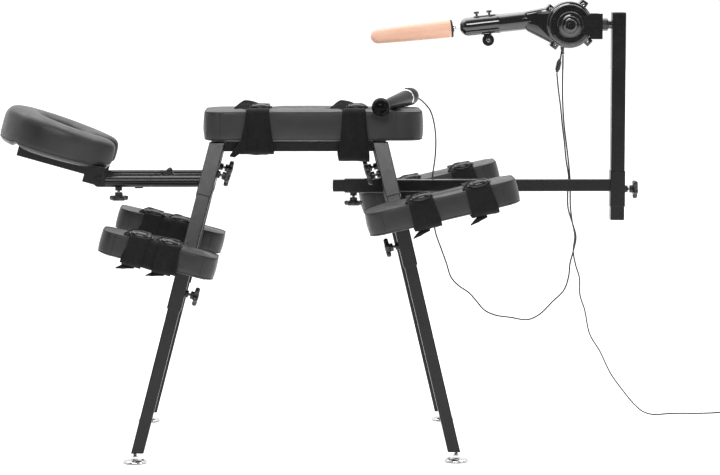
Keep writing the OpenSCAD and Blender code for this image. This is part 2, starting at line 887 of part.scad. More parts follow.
// Inline connector, with the short tail that joins it to the drive unit
module lead_connector() {
    color([0.1, 0.1, 0.1]) {
        translate(connector_at) rotate([0, 12, 0]) {
            translate([0, 0, -14]) cylinder(d = 8, h = 6);
            translate([0, 0, -9]) cylinder(d = 12, h = 24);
            translate([0, 0, 15]) cylinder(d1 = 10, d2 = 6, h = 6);
        }
        translate(connector_at + [4, 0, 17]) rotate([0, 5, 0])
            cylinder(d = lead_d, h = tail_length);
    }
}

// ---------- output ----------

pad_frame();
leg_frame();
main_pad();
torso_straps();
torso_buckles();
wand_body();
wand_button();
rest_bracket(true, -1);  // arm_bracket_left
rest_bracket(true, 1);  // arm_bracket_right
rest_pad(true, -1);  // arm_pad_left
rest_pad(true, 1);  // arm_pad_right
rest_straps(true, -1);  // arm_straps_left
rest_straps(true, 1);  // arm_straps_right
rest_bracket(false, -1);  // knee_bracket_left
rest_bracket(false, 1);  // knee_bracket_right
rest_pad(false, -1);  // knee_pad_left
rest_pad(false, 1);  // knee_pad_right
rest_straps(false, -1);  // knee_straps_left
rest_straps(false, 1);  // knee_straps_right
lower_leg(true, -1);  // lower_leg_front_left
lower_leg(true, 1);  // lower_leg_front_right
lower_leg(false, -1);  // lower_leg_rear_left
lower_leg(false, 1);  // lower_leg_rear_right
foot(true, -1);  // foot_front_left
foot(true, 1);  // foot_front_right
foot(false, -1);  // foot_rear_left
foot(false, 1);  // foot_rear_right
at_upper_knob(true, -1) star_knob(stem_reach(outer_tube, outer_wall));  // upper_knob_front_left
at_upper_knob(true, 1) star_knob(stem_reach(outer_tube, outer_wall));  // upper_knob_front_right
at_upper_knob(false, -1) star_knob(stem_reach(outer_tube, outer_wall));  // upper_knob_rear_left
at_upper_knob(false, 1) star_knob(stem_reach(outer_tube, outer_wall));  // upper_knob_rear_right
at_lower_knob(true, -1) star_knob(stem_reach(mid_tube, mid_wall));  // lower_knob_front_left
at_lower_knob(true, 1) star_knob(stem_reach(mid_tube, mid_wall));  // lower_knob_front_right
at_lower_knob(false, -1) star_knob(stem_reach(mid_tube, mid_wall));  // lower_knob_rear_left
at_lower_knob(false, 1) star_knob(stem_reach(mid_tube, mid_wall));  // lower_knob_rear_right
head_rods();
cradle_slider();
cradle_tray();
cradle_pad();
at_cradle_knob_left() star_knob(boss_h + 2.7);  // cradle_knob_left
at_cradle_knob_right() star_knob(boss_h + 2.7);  // cradle_knob_right
boom();
at_boom_knob() star_knob(stem_reach(mid_tube, mid_wall));  // boom_knob
post();
at_post_knob() star_knob(stem_reach(outer_tube, outer_wall));  // post_knob
drive_mount();
mount_nut();
housing_left();
housing_right();
nose_barrel();
gearmotor();
crank_disc();
slider_yoke();
chrome_rod();
attachment();
mains_lead();
mains_coil();
mains_plug();
wand_lead();
lead_connector();
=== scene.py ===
import json
import math

import bmesh
import bpy
import numpy as np
from mathutils import Matrix, Vector, noise


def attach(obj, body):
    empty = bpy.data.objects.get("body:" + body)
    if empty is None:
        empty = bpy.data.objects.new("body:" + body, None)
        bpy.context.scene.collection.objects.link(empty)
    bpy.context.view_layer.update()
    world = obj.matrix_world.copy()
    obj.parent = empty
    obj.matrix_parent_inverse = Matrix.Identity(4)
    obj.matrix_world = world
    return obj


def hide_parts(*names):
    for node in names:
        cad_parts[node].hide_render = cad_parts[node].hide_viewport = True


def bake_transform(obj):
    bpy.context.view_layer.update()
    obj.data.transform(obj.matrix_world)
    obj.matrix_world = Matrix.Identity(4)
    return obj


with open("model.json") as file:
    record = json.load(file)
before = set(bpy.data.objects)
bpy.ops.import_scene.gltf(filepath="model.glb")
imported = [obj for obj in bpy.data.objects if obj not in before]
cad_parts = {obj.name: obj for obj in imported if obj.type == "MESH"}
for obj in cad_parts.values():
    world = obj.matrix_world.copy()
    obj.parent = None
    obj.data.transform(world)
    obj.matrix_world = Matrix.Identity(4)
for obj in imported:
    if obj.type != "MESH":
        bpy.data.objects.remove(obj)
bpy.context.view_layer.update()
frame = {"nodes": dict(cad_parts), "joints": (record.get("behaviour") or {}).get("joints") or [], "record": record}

MM = 0.001
scene = bpy.context.scene
sin, cos, tan, radians, pi = math.sin, math.cos, math.tan, math.radians, math.pi


# ---------- places, all in millimetres until a mesh is finished ----------

def T(x, y, z):
    return Matrix.Translation((x, y, z))


def R(axis, degrees):
    return Matrix.Rotation(radians(degrees), 4, axis)


LEAN = {True: 14.5, False: -13.2}
FOOT_X = {True: -463, False: 323}
REST_Z = {True: 500, False: 600}
SIDES = {"left": -1, "right": 1}


def leg_place(front, z):
    return T(FOOT_X[front] + z * tan(radians(LEAN[front])), 0, z) @ R("Y", LEAN[front])


def rest_place(front):
    return leg_place(front, REST_Z[front])


CRADLE = T(-560, 0, 674) @ R("Y", 15.8)
DRIVE = T(622, 0, 1062) @ R("Y", -6)
WAND = T(142, -166, 862) @ R("Z", -18) @ R("X", 3.2 - 90)

# ---------- camera ----------

camera = bpy.data.objects.new("camera", bpy.data.cameras.new("camera"))
scene.collection.objects.link(camera)
camera.location = (-0.065, -6.5, 1.169)
camera.rotation_euler = Vector((0.02454, 1, -0.09953)).to_track_quat("-Z", "Y").to_euler()
camera.data.sensor_width = 36
camera.data.lens = 128.35
scene.camera = camera

# ---------- materials ----------


def chain(tree, kind, settings=None, **inputs):
    node = tree.nodes.new(kind)
    for key, value in (settings or {}).items():
        setattr(node, key, value)
    for key, value in inputs.items():
        socket = node.inputs[key.replace("_", " ")]
        if hasattr(value, "is_output"):
            tree.links.new(value, socket)
        else:
            socket.default_value = value
    return node


def material(name, dark, light, rough, patch=30, metal=0.0, bumps=(), weave=None, edge=None,
             **own):
    """A Principled material whose colour and roughness vary in soft patches, with bump layers.

    bumps holds (texture, scale, height in metres); weave is the thread spacing in metres."""
    m = bpy.data.materials.new(name)
    m.use_nodes = True
    tree = m.node_tree
    shader = tree.nodes["Principled BSDF"]
    at = chain(tree, "ShaderNodeTexCoord").outputs["Object"]
    patches = chain(tree, "ShaderNodeTexNoise", Vector=at, Scale=patch, Detail=5.0).outputs["Fac"]
    ramp = chain(tree, "ShaderNodeValToRGB", Fac=patches)
    ramp.color_ramp.elements[0].position, ramp.color_ramp.elements[1].position = 0.3, 0.72
    ramp.color_ramp.elements[0].color = (*dark, 1)
    ramp.color_ramp.elements[1].color = (*light, 1)
    fine = chain(tree, "ShaderNodeTexNoise", Vector=at, Scale=patch * 4, Detail=4.0).outputs["Fac"]
    spread = chain(tree, "ShaderNodeMapRange", Value=fine, From_Min=0.3, From_Max=0.7,
                   To_Min=rough[0], To_Max=rough[1])
    tree.links.new(spread.outputs["Result"], shader.inputs["Roughness"])
    colour = ramp.outputs["Color"]
    normal = None
    if edge:
        # worn-round look on the square edges of tubes
        normal = chain(tree, "ShaderNodeBevel", {"samples": 6}, Radius=edge).outputs["Normal"]
    for kind, scale, height in bumps:
        if kind == "voronoi":
            texture = chain(tree, "ShaderNodeTexVoronoi", Vector=at, Scale=scale)
            value = texture.outputs["Distance"]
        else:
            texture = chain(tree, "ShaderNodeTexNoise", Vector=at, Scale=scale, Detail=3.0)
            value = texture.outputs["Fac"]
        bump = chain(tree, "ShaderNodeBump", Height=value, Distance=height, Strength=0.8)
        if normal:
            tree.links.new(normal, bump.inputs["Normal"])
        normal = bump.outputs["Normal"]
    if weave:
        threads = []
        for axis in "XZ":
            wave = chain(tree, "ShaderNodeTexWave", {"bands_direction": axis}, Vector=at,
                         Scale=0.314 / weave, Distortion=1.2, Detail=2.0)
            threads.append(wave.outputs["Fac"])
        crossed = chain(tree, "ShaderNodeMath", {"operation": "MULTIPLY"})
        for i in (0, 1):
            tree.links.new(threads[i], crossed.inputs[i])
        bump = chain(tree, "ShaderNodeBump", Height=crossed.outputs[0], Distance=weave * 0.35,
                     Strength=0.7)
        if normal:
            tree.links.new(normal, bump.inputs["Normal"])
        normal = bump.outputs["Normal"]
        mix = chain(tree, "ShaderNodeMix", {"data_type": "RGBA", "blend_type": "MULTIPLY"})
        mix.inputs[0].default_value = 0.35
        tree.links.new(colour, mix.inputs[6])
        tree.links.new(crossed.outputs[0], mix.inputs[7])
        colour = mix.outputs[2]
    tree.links.new(colour, shader.inputs["Base Color"])
    if normal:
        tree.links.new(normal, shader.inputs["Normal"])
    shader.inputs["Metallic"].default_value = metal
    for key, value in own.items():
        shader.inputs[key.replace("_", " ")].default_value = value
    return m


def grey(v, warm=0.0):
    return (v * (1 + warm), v, v * (1 - warm))


MATERIALS = {
    "frame_steel": material("powder_coat", grey(0.006), grey(0.009), (0.19, 0.27), 18, edge=0.0022,
                            bumps=[("noise", 1400, 0.00012)], Specular_IOR_Level=0.35),
    "pad_vinyl": material("vinyl", grey(0.009), grey(0.015), (0.36, 0.52), 9,
                          bumps=[("voronoi", 620, 0.00028), ("noise", 70, 0.0004)],
                          Sheen_Weight=0.12),
    "strap_webbing": material("webbing", grey(0.0045), grey(0.0085), (0.8, 0.95), 40,
                              bumps=[("noise", 900, 0.0002)], weave=0.0016, Sheen_Weight=0.1,
                              Specular_IOR_Level=0.25),
    "buckle_plastic": material("buckle", grey(0.010), grey(0.016), (0.10, 0.20), 60,
                               Specular_IOR_Level=0.35),
    "knob_plastic": material("knob", grey(0.010), grey(0.020), (0.22, 0.36), 60,
                             bumps=[("noise", 1500, 0.00008)]),
    "foot_steel": material("foot", grey(0.62), grey(0.78), (0.10, 0.24), 60, metal=1.0,
                           bumps=[("noise", 900, 0.00003)]),
    "drive_shell": material("drive", grey(0.008), grey(0.012), (0.07, 0.15), 25,
                            bumps=[("noise", 160, 0.00008)], Coat_Weight=1.0),
    "inner_steel": material("inner", grey(0.42), grey(0.6), (0.25, 0.45), 50, metal=1.0),
    "chrome": material("chrome", grey(0.72), grey(0.85), (0.05, 0.12), 50, metal=1.0),
    "silicone": material("silicone", (0.74, 0.42, 0.29), (0.79, 0.48, 0.35), (0.42, 0.5), 14,
                         Specular_IOR_Level=0.4),
    "wand_shell": material("wand", grey(0.004), grey(0.006), (0.12, 0.2), 50,
                           Specular_IOR_Level=0.12, IOR=1.3),
    "button_rubber": material("button", grey(0.03), grey(0.04), (0.6, 0.75), 80),
    "lead_pvc": material("lead", grey(0.010), grey(0.016), (0.35, 0.5), 80),
}
SEAM = material("seam", grey(0.006), grey(0.010), (0.5, 0.7), 90)
RUBBER = material("foot_rubber", grey(0.012), grey(0.02), (0.6, 0.8), 90)

slot_of = {s["node"]: s["material_slot"] for s in frame["record"]["subparts"]}
for node, ob in frame["nodes"].items():
    ob.data.materials.clear()
    ob.data.materials.append(MATERIALS[slot_of[node]])

# ---------- mesh building ----------


class Build:
    """Collects solids in millimetres, then makes one object from them in metres."""

    def __init__(self, place=None):
        self.bm = bmesh.new()
        self.place = place or Matrix.Identity(4)
        self.mat = 0

    def take(self, part, at=None):
        part.transform(at or Matrix.Identity(4))
        if (at or self.place).determinant() < 0:
            bmesh.ops.reverse_faces(part, faces=part.faces)
        for f in part.faces:
            f.material_index = self.mat
        mesh = bpy.data.meshes.new("part")
        part.to_mesh(mesh)
        part.free()
        self.bm.from_mesh(mesh)
        bpy.data.meshes.remove(mesh)

    def box(self, size, radius=1.0, at=None, segments=3):
        part = bmesh.new()
        bmesh.ops.create_cube(part, size=1, matrix=Matrix.Diagonal((*size, 1)))
        if radius:
            bmesh.ops.bevel(part, geom=part.edges[:], offset=min(radius, min(size) * 0.49),
                            segments=segments, profile=0.5, affect="EDGES")
        self.take(part, at)

    def lathe(self, profile, at=None, n=40, flute=None):
        """profile holds (radius, height) from the bottom of the axis to its top, along +Z."""
        part = bmesh.new()
        rings = []
        for r, z in profile:
            if r <= 0:
                rings.append([part.verts.new((0, 0, z))])
                continue
            ring = []
            for i in range(n):
                a = 2 * pi * i / n
                k = r * (flute(a, z) if flute else 1)
                ring.append(part.verts.new((k * cos(a), k * sin(a), z)))
            rings.append(ring)
        for low, high in zip(rings, rings[1:]):
            for i in range(n):
                j = (i + 1) % n
                if len(low) == 1:
                    part.faces.new((low[0], high[j], high[i]))
                elif len(high) == 1:
                    part.faces.new((low[i], low[j], high[0]))
                else:
                    part.faces.new((low[i], low[j], high[j], high[i]))
        self.take(part, at)

    def prism(self, outline, height, radius=0.0, at=None):
        part = bmesh.new()
        low = [part.verts.new((x, y, 0)) for x, y in outline]
        base = part.faces.new(low[::-1])
        made = bmesh.ops.extrude_face_region(part, geom=[base])
        bmesh.ops.translate(part, vec=(0, 0, height),
                            verts=[v for v in made["geom"] if isinstance(v, bmesh.types.BMVert)])
        bmesh.ops.recalc_face_normals(part, faces=part.faces)
        if radius:
            bmesh.ops.bevel(part, geom=part.edges[:], offset=radius, segments=3, profile=0.5,
                            affect="EDGES")
        self.take(part, at)

    def tube(self, points, radius, n=12, closed=False):
        self.take(tube_mesh(points, radius, n, closed))

    def finish(self, name, slot, body, nodes=(), sharp=38, extra=()):
        mesh = bpy.data.meshes.new(name)
        self.bm.transform(self.place)
        self.bm.transform(Matrix.Scale(MM, 4))
        self.bm.to_mesh(mesh)
        self.bm.free()
        for material_ in (MATERIALS[slot], *extra):
            mesh.materials.append(material_)
        mesh.shade_smooth()
        mesh.set_sharp_from_angle(angle=radians(sharp))
        ob = bpy.data.objects.new(name, mesh)
        scene.collection.objects.link(ob)
        if body:
            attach(ob, body)
        if nodes:
            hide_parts(*nodes)
        return ob


def tube_mesh(points, radius, n=12, closed=False):
    points = [Vector(p) for p in points]
    m = len(points)
    part = bmesh.new()
    side = None
    rings = []
    for i, p in enumerate(points):
        a = points[i - 1] if i or closed else p
        b = points[(i + 1) % m] if i < m - 1 or closed else p
        d = (b - a).normalized()
        if side is None:
            side = d.orthogonal()
        side = (side - d * side.dot(d)).normalized()
        other = d.cross(side)
        r = radius[i] if hasattr(radius, "__len__") else radius
        rings.append([part.verts.new(p + (side * cos(2 * pi * k / n)
                                          + other * sin(2 * pi * k / n)) * r) for k in range(n)])
    spans = list(zip(rings, rings[1:])) + ([(rings[-1], rings[0])] if closed else [])
    for low, high in spans:
        for k in range(n):
            j = (k + 1) % n
            part.faces.new((low[k], low[j], high[j], high[k]))
    if not closed:
        part.faces.new(rings[0][::-1])
        part.faces.new(rings[-1])
    return part


def smooth_route(points, step=6.0):
    """Centripetal Catmull-Rom line through points, in even steps of about step."""
    p = [Vector(q) for q in points]
    p = [p[0] * 2 - p[1], *p, p[-1] * 2 - p[-2]]
    fine = []
    for i in range(1, len(p) - 2):
        knots = [0.0]
        for a, b in zip(p[i - 1:i + 2], p[i:i + 3]):
            knots.append(knots[-1] + max((b - a).length, 1e-6) ** 0.5)
        t0, t1, t2, t3 = knots
        count = max(2, round((p[i + 1] - p[i]).length / 2))
        for k in range(count):
            t = t1 + (t2 - t1) * k / count
            a1 = p[i - 1] * ((t1 - t) / (t1 - t0)) + p[i] * ((t - t0) / (t1 - t0))
            a2 = p[i] * ((t2 - t) / (t2 - t1)) + p[i + 1] * ((t - t1) / (t2 - t1))
            a3 = p[i + 1] * ((t3 - t) / (t3 - t2)) + p[i + 2] * ((t - t2) / (t3 - t2))
            b1 = a1 * ((t2 - t) / (t2 - t0)) + a2 * ((t - t0) / (t2 - t0))
            b2 = a2 * ((t3 - t) / (t3 - t1)) + a3 * ((t - t1) / (t3 - t1))
            fine.append(b1 * ((t2 - t) / (t2 - t1)) + b2 * ((t - t1) / (t2 - t1)))
    fine.append(p[-2])
    ends = np.cumsum([0.0] + [(b - a).length for a, b in zip(fine, fine[1:])])
    count = max(2, round(ends[-1] / step))
    xyz = np.array(fine)
    even = np.linspace(0, ends[-1], count + 1)
    return [Vector([np.interp(s, ends, xyz[:, c]) for c in range(3)]) for s in even]


# ---------- leads ----------

LEAD_R = 2.0
MAINS = [
    (610, 12, 985), (610, 15, 950), (610, 18, 915), (611, 22, 870), (616, 28, 805),
    (625, 34, 740), (632, 38, 680), (634, 40, 640), (635, 42, 600), (640, 46, 560),
    (648, 50, 520), (645, 56, 480), (652, 66, 445), (664, 80, 408), (668, 100, 362),
    (684, 130, 318), (702, 170, 250), (736, 220, 195), (770, 270, 130), (806, 308, 80),
    (846, 335, 32), (870, 346, 12), (900, 358, 2.2), (940, 372, 2.2), (980, 376, 2.2),
    (1020, 374, 2.2), (1060, 380, 2.2), (1090, 392, 2.2), (1108, 396, 2.2)]
WAND_LEAD = [
    (233, 114, 878), (239, 128, 876), (249, 140, 870), (262, 146, 860), (280, 145, 838),
    (290, 140, 805), (294, 132, 765), (292, 122, 720), (286, 112, 680), (282, 104, 645),
    (281, 98, 610), (286, 92, 565), (292, 88, 525), (306, 86, 485), (320, 84, 446),
    (332, 84, 410), (352, 84, 388), (378, 82, 370), (398, 80, 348), (418, 80, 325),
    (446, 78, 312), (486, 76, 306), (530, 76, 300), (560, 76, 313), (594, 78, 346),
    (624, 80, 376), (636, 82, 410), (640, 84, 446), (648, 82, 478), (654, 78, 514),
    (645, 74, 548), (632, 68, 590), (630, 62, 630), (632, 58, 668), (624, 54, 718),
    (619, 48, 762), (613, 40, 802), (607, 30, 850), (598, 6, 900), (593, -4, 940)]


def lead(name, route, node):
    made = Build()
    made.tube(route, LEAD_R)
    ob = made.finish(name, "lead_pvc", None, [node] if node else [])
    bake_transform(ob)
    return ob


mains = smooth_route(MAINS)
# the unseen length is wound in a flat round coil at the end of the seen route
COIL_AT, COIL_R, LANE, STEPS = Vector((1114, 370.5, 2.2)), 24.0, 2.1, 30
start_angle = math.atan2(mains[-1].y - COIL_AT.y, mains[-1].x - COIL_AT.x)
WHOLE_TURNS = 7
CHANGE_FROM = 0.7        # share of a turn after which the lead crosses to its next place
LAYER = 2 * LEAD_R * 1.03
TURNS = WHOLE_TURNS + start_angle / (2 * pi)


def coil_slot(k):
    """Radius and height of turn k: out, in, then in, out on the next layer, and so on."""
    outer = (k // 2 + k) % 2 == 0
    return COIL_R + (LANE if outer else -LANE), (k // 2) * LAYER


coil = []
for i in range(1, round(TURNS * STEPS) + 1):
    turn = i / STEPS
    k = min(int(turn), WHOLE_TURNS)
    ease = 0.0
    if k < WHOLE_TURNS:
        ease = max(0.0, (turn - k - CHANGE_FROM) / (1 - CHANGE_FROM))
    ease = ease * ease * (3 - 2 * ease)
    (r0, z0), (r1, z1) = coil_slot(k), coil_slot(min(k + 1, WHOLE_TURNS))
    a = start_angle - 2 * pi * turn
    r = r0 + (r1 - r0) * ease
    coil.append(COIL_AT + Vector((r * cos(a), r * sin(a), z0 + (z1 - z0) * ease)))
PLUG_X = 1140
coil += smooth_route([coil[-1], (PLUG_X, 352, 14.4), (PLUG_X, 334, 13.1), (PLUG_X, 327, 13.1)])[1:]


def split(route, test):
    k = next(i for i, p in enumerate(route) if test(p))
    return route[:k + 1], route[k:]


top, rest = split(mains, lambda p: p.z < 800)
middle, low = split(rest, lambda p: p.z < 560)

plug = Build(T(PLUG_X, 300, 13.1))
plug.box((34, 40, 26), 5, T(0, -2, 0), 4)
plug.lathe([(0, 0), (5.5, 0), (5.2, 4), (4.4, 5), (4.4, 9), (3.6, 10), (3.4, 15), (0, 15)],
           T(0, 17, 0) @ R("X", -90), 24)
plug.mat = 1
for x in (-9.5, 9.5):
    plug.lathe([(0, 0), (2, 0), (2, 17), (1.2, 19), (0, 19)], T(x, -22, 0) @ R("X", 90), 20)
plug = plug.finish("plug", "lead_pvc", "frame", ["mains_plug"], extra=[MATERIALS["chrome"]])

tie = Build(T(COIL_AT.x - COIL_R, COIL_AT.y, 8.5))
tie.tube([(6.4 * cos(a), 0, 8.4 * sin(a)) for a in np.linspace(0, 2 * pi, 24, endpoint=False)],
         1.0, 8, True)
tie = tie.finish("coil_tie", "lead_pvc", "frame")

low_route = low + coil
lead("mains_lead_top", top, "mains_lead")
lead("mains_lead_middle", middle, None)
lead("mains_lead_low", low_route, "mains_coil")

wand_path = smooth_route(WAND_LEAD)
first, second = split(wand_path, lambda p: p.x > 600 and p.z < 400)
lead("wand_lead_low", first, "wand_lead")

connector = Build(T(596, -4, 955) @ R("Y", 12))
connector.lathe([(0, -14), (3.2, -14), (4, -12), (4, -9.5), (5.6, -8), (6, -6), (6, 12),
                 (5.4, 14.5), (4.6, 15), (3.6, 19), (2.4, 21), (0, 21)], None, 28)
connector.take(tube_mesh([(1.5, 0, 20), (0.8, 0, 34), (0, 0, 46), (-1.6, 0, 50)], 2.0))
connector = connector.finish("connector", "lead_pvc", "post", ["lead_connector"])
lead("wand_lead_high", second, None)

# ---------- pads ----------


def outline(half_x, half_y, radius, per_x, per_y, per_corner=7):
    """Points of a rounded rectangle, anticlockwise from its +X side."""
    pts = []
    flat_x, flat_y = half_x - radius, half_y - radius
    corners = [(flat_x, flat_y), (-flat_x, flat_y), (-flat_x, -flat_y), (flat_x, -flat_y)]
    for quarter, (cx, cy) in enumerate(corners):
        for k in range(per_corner):
            a = pi / 2 * (quarter + k / (per_corner - 1))
            pts.append((cx + radius * cos(a), cy + radius * sin(a)))
        nx, ny = corners[(quarter + 1) % 4]
        x0, y0 = pts[-1]
        a = pi / 2 * (quarter + 1)
        x1, y1 = nx + radius * cos(a), ny + radius * sin(a)
        count = per_x if quarter % 2 == 0 else per_y
        for k in range(1, count):
            pts.append((x0 + (x1 - x0) * k / count, y0 + (y1 - y0) * k / count))
    return pts


def inflate(ob, held, cap, force):
    """Blows the pad's cover out from its held seams with a cloth simulation, and applies it."""
    rest = [v.co.copy() for v in ob.data.vertices]
    group = ob.vertex_groups.new(name="held")
    group.add(held, 1.0, "REPLACE")
    cloth = ob.modifiers.new("cloth", "CLOTH")
    s = cloth.settings
    s.use_pressure = True
    s.uniform_pressure_force = force
    s.effector_weights.gravity = 0
    s.vertex_group_mass = "held"
    s.quality = 6
    s.tension_stiffness = s.compression_stiffness = 12
    s.bending_stiffness = 2.5
    cloth.point_cache.frame_start, cloth.point_cache.frame_end = 1, 20
    for f in range(1, 21):
        scene.frame_set(f)
    seen = ob.evaluated_get(bpy.context.evaluated_depsgraph_get())
    moved = [v.co.copy() for v in seen.data.vertices]
    ob.modifiers.remove(cloth)
    ob.vertex_groups.remove(group)
    scene.frame_set(1)
    for v, a, b in zip(ob.data.vertices, rest, moved):
        d = b - a
        v.co = a + (d if d.length < cap else d * (cap / d.length))


def pad(name, size, radius, place, body, node, force=4.0, seams_at=(), tied=(), cap=0.004):
    """Boxed cushion: a top and bottom panel and a side band, held at the seams between them."""
    length, width, height = size
    length, width, height = length - 3, width - 3, height - 0.5
    per_x, per_y = round((length - 2 * radius) / 9), round((width - 2 * radius) / 9)
    # (inset, height above the base) from the middle of the bottom to the middle of the top
    shape = [(0.42 * width, 0.0), (0.25 * width, 0), (0.12 * width, 0), (9, 0), (4, 1.2), (1.2, 4),
             (0, 8)]
    shape += [(-0.6, height * f) for f in (0.25, 0.4, 0.55, 0.7)]
    shape += [(0, height - 9), (0.4, height - 5)]
    seam = len(shape)
    shape += [(1.5, height - 2.2), (5, height - 0.8), (10, height + 0.4), (18, height + 1.0)]
    shape += [(width * f, height + 1.4) for f in (0.2, 0.3, 0.4, 0.47)]
    bm = bmesh.new()
    rings = []
    for inset, z in shape:
        r = max(radius - inset, 3.0)
        half_x, half_y = length / 2 - inset, width / 2 - inset
        r = min(r, half_y - 0.5)
        rings.append([bm.verts.new((x, y, z))
                      for x, y in outline(half_x, half_y, r, per_x, per_y)])
    n = len(rings[0])
    for a, b in zip(rings, rings[1:]):
        for i in range(n):
            j = (i + 1) % n
            bm.faces.new((a[i], a[j], b[j], b[i]))
    bm.faces.new(rings[0][::-1])
    bm.faces.new(rings[-1])
    bm.verts.index_update()
    held = [v.index for k in (0, 1, 2, 3, seam) for v in rings[k]]
    upright = []
    for x in seams_at:
        # an upright seam in the side band, where the end panel is sewn on
        for side in (-1, 1):
            column = min(range(n), key=lambda i: abs(rings[7][i].co.x - x)
                         + abs(rings[7][i].co.y - side * width / 2))
            upright.append(column)
            held += [rings[k][column].index for k in range(4, seam + 1)]
            for k in range(5, seam):
                rings[k][column].co.y -= side * 1.6
    held += [v.index for v in bm.verts if any(a < v.co.x < b for a, b in tied)]
    bm.transform(place)
    bm.transform(Matrix.Scale(MM, 4))
    mesh = bpy.data.meshes.new(name)
    bm.to_mesh(mesh)
    lines = [[v.index for v in rings[seam]], [v.index for v in rings[5]]]
    columns = [[rings[k][c].index for k in range(5, seam + 1)] for c in upright]
    bm.free()
    ob = bpy.data.objects.new(name, mesh)
    scene.collection.objects.link(ob)
    inflate(ob, held, cap, force)
    mesh.materials.append(MATERIALS["pad_vinyl"])
    mesh.shade_smooth()
    level = ob.modifiers.new("smooth", "SUBSURF")
    level.levels = level.render_levels = 1
    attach(ob, body)
    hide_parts(node)
    welt = Build()
    for ring in lines:
        welt.tube([mesh.vertices[i].co / MM for i in ring], 1.1, 8, True)
    for column in columns:
        welt.tube([mesh.vertices[i].co / MM for i in column], 0.9, 6)
    welt = welt.finish(name + "_welt", "pad_vinyl", None)
    welt.data.materials[0] = SEAM
    welt.parent = ob
    return ob


pad("torso_cushion", (548, 280, 74), 40, T(-24, 0, 776), "frame", "main_pad",
    seams_at=(-236, 205), tied=((-180, -98), (62, 138)))
ARM_Y, ARM_W = 234 + 68, 136
for name, side in SIDES.items():
    pad("arm_cushion_" + name, (290, ARM_W, 58), 34,
        rest_place(True) @ T(-69, side * ARM_Y, -31), "arm_" + name, "arm_pad_" + name,
        seams_at=(-105, 105), tied=((-80, 58),))
    pad("knee_cushion_" + name, (375, 176, 60), 38,
        rest_place(False) @ T(107, side * 300, -25), "knee_" + name, "knee_pad_" + name,
        seams_at=(-145, 145), tied=((-80, -17), (60, 125)))

# ---------- face cradle cushion ----------

def signed_power(v, power):
    return math.copysign(abs(v) ** power, v)


def horseshoe(name, place, body, node):
    """Padded horseshoe, open towards +X, thicker on its closed side."""
    middle, half, gap, steps, around = 107.5, 47.0, 32, 150, 44
    a0 = math.asin(gap / middle)
    bm = bmesh.new()
    rings = []
    for i in range(steps + 1):
        a = a0 + (2 * pi - 2 * a0) * i / steps
        s = min(i, steps - i) / steps * (2 * pi - 2 * a0) * middle
        wide = max(0.3, (1 - (1 - min(s / 30, 1)) ** 3.4) ** (1 / 3.4))
        tall = 0.55 + 0.45 * math.sqrt(1 - (1 - min(s / 22, 1)) ** 2)
        high = 75 - 9 * cos(a)
        ring = []
        for j in range(around):
            t = 2 * pi * j / around
            u, v = signed_power(cos(t), 0.55), signed_power(sin(t), 0.62 if sin(t) > 0 else 0.4)
            soft = 0.9 * noise.noise((3 * cos(a), 3 * sin(a), 2 * v)) * (1 + u) if v > 0 else 0
            r = middle + half * u * wide + soft
            z = high / 2 + high / 2 * v * tall + (2.2 * (1 - u * u) if v > 0 else 0)
            # the cover hangs a little lower where it reaches out past the tray
            clear = min(max(max(-96 - r * cos(a), abs(r * sin(a)) - 104) / 14, 0), 1)
            z -= 12 * clear * max(0.0, -v) ** 0.5
            ring.append(bm.verts.new((r * cos(a), r * sin(a), z)))
        rings.append(ring)
    for a, b in zip(rings, rings[1:]):
        for j in range(around):
            k = (j + 1) % around
            bm.faces.new((a[j], a[k], b[k], b[j]))
    bm.faces.new(rings[0][::-1])
    bm.faces.new(rings[-1])
    bmesh.ops.recalc_face_normals(bm, faces=bm.faces)
    edge = [rings[i][around - 3].co.copy() for i in range(6, steps - 5)]
    made = Build(place)
    made.take(bm)
    ob = made.finish(name, "pad_vinyl", body, [node], sharp=60)
    welt = Build(place)
    welt.tube(edge, 1.3, 8)
    welt = welt.finish(name + "_welt", "pad_vinyl", None)
    welt.data.materials[0] = SEAM
    welt.parent = ob


horseshoe("cradle_cushion", CRADLE @ T(-122, 0, 37.3), "cradle", "cradle_pad")

# ---------- straps and buckles ----------


def ribbon(made, centres, across, out, half, thick=2.2, closed=False, fold=0.0, seed=0.0):
    """Webbing along a centreline; across is its width direction, out the side that faces away."""
    part = bmesh.new()
    columns = 16
    rows = []
    for i, c in enumerate(centres):
        w = half[i] if hasattr(half, "__len__") else half
        row = []
        for lift, ks in ((thick, range(columns + 1)), (0.0, range(columns, -1, -1))):
            for k in ks:
                u = 2 * k / columns - 1
                n = noise.noise((u * 2.6 + seed, c[1] * 0.012 + seed, c[2] * 0.016))
                d = fold * max(0.0, 0.35 + n) + 0.25
                row.append(part.verts.new(Vector(c) + across[i] * (w * u) + out[i] * (d + lift)))
        rows.append(row)
    n = len(rows[0])
    for a, b in list(zip(rows, rows[1:])) + ([(rows[-1], rows[0])] if closed else []):
        for k in range(n):
            j = (k + 1) % n
            part.faces.new((a[k], a[j], b[j], b[k]))
    if not closed:
        part.faces.new(rows[0][::-1])
        part.faces.new(rows[-1])
    bmesh.ops.recalc_face_normals(part, faces=part.faces)
    made.take(part)


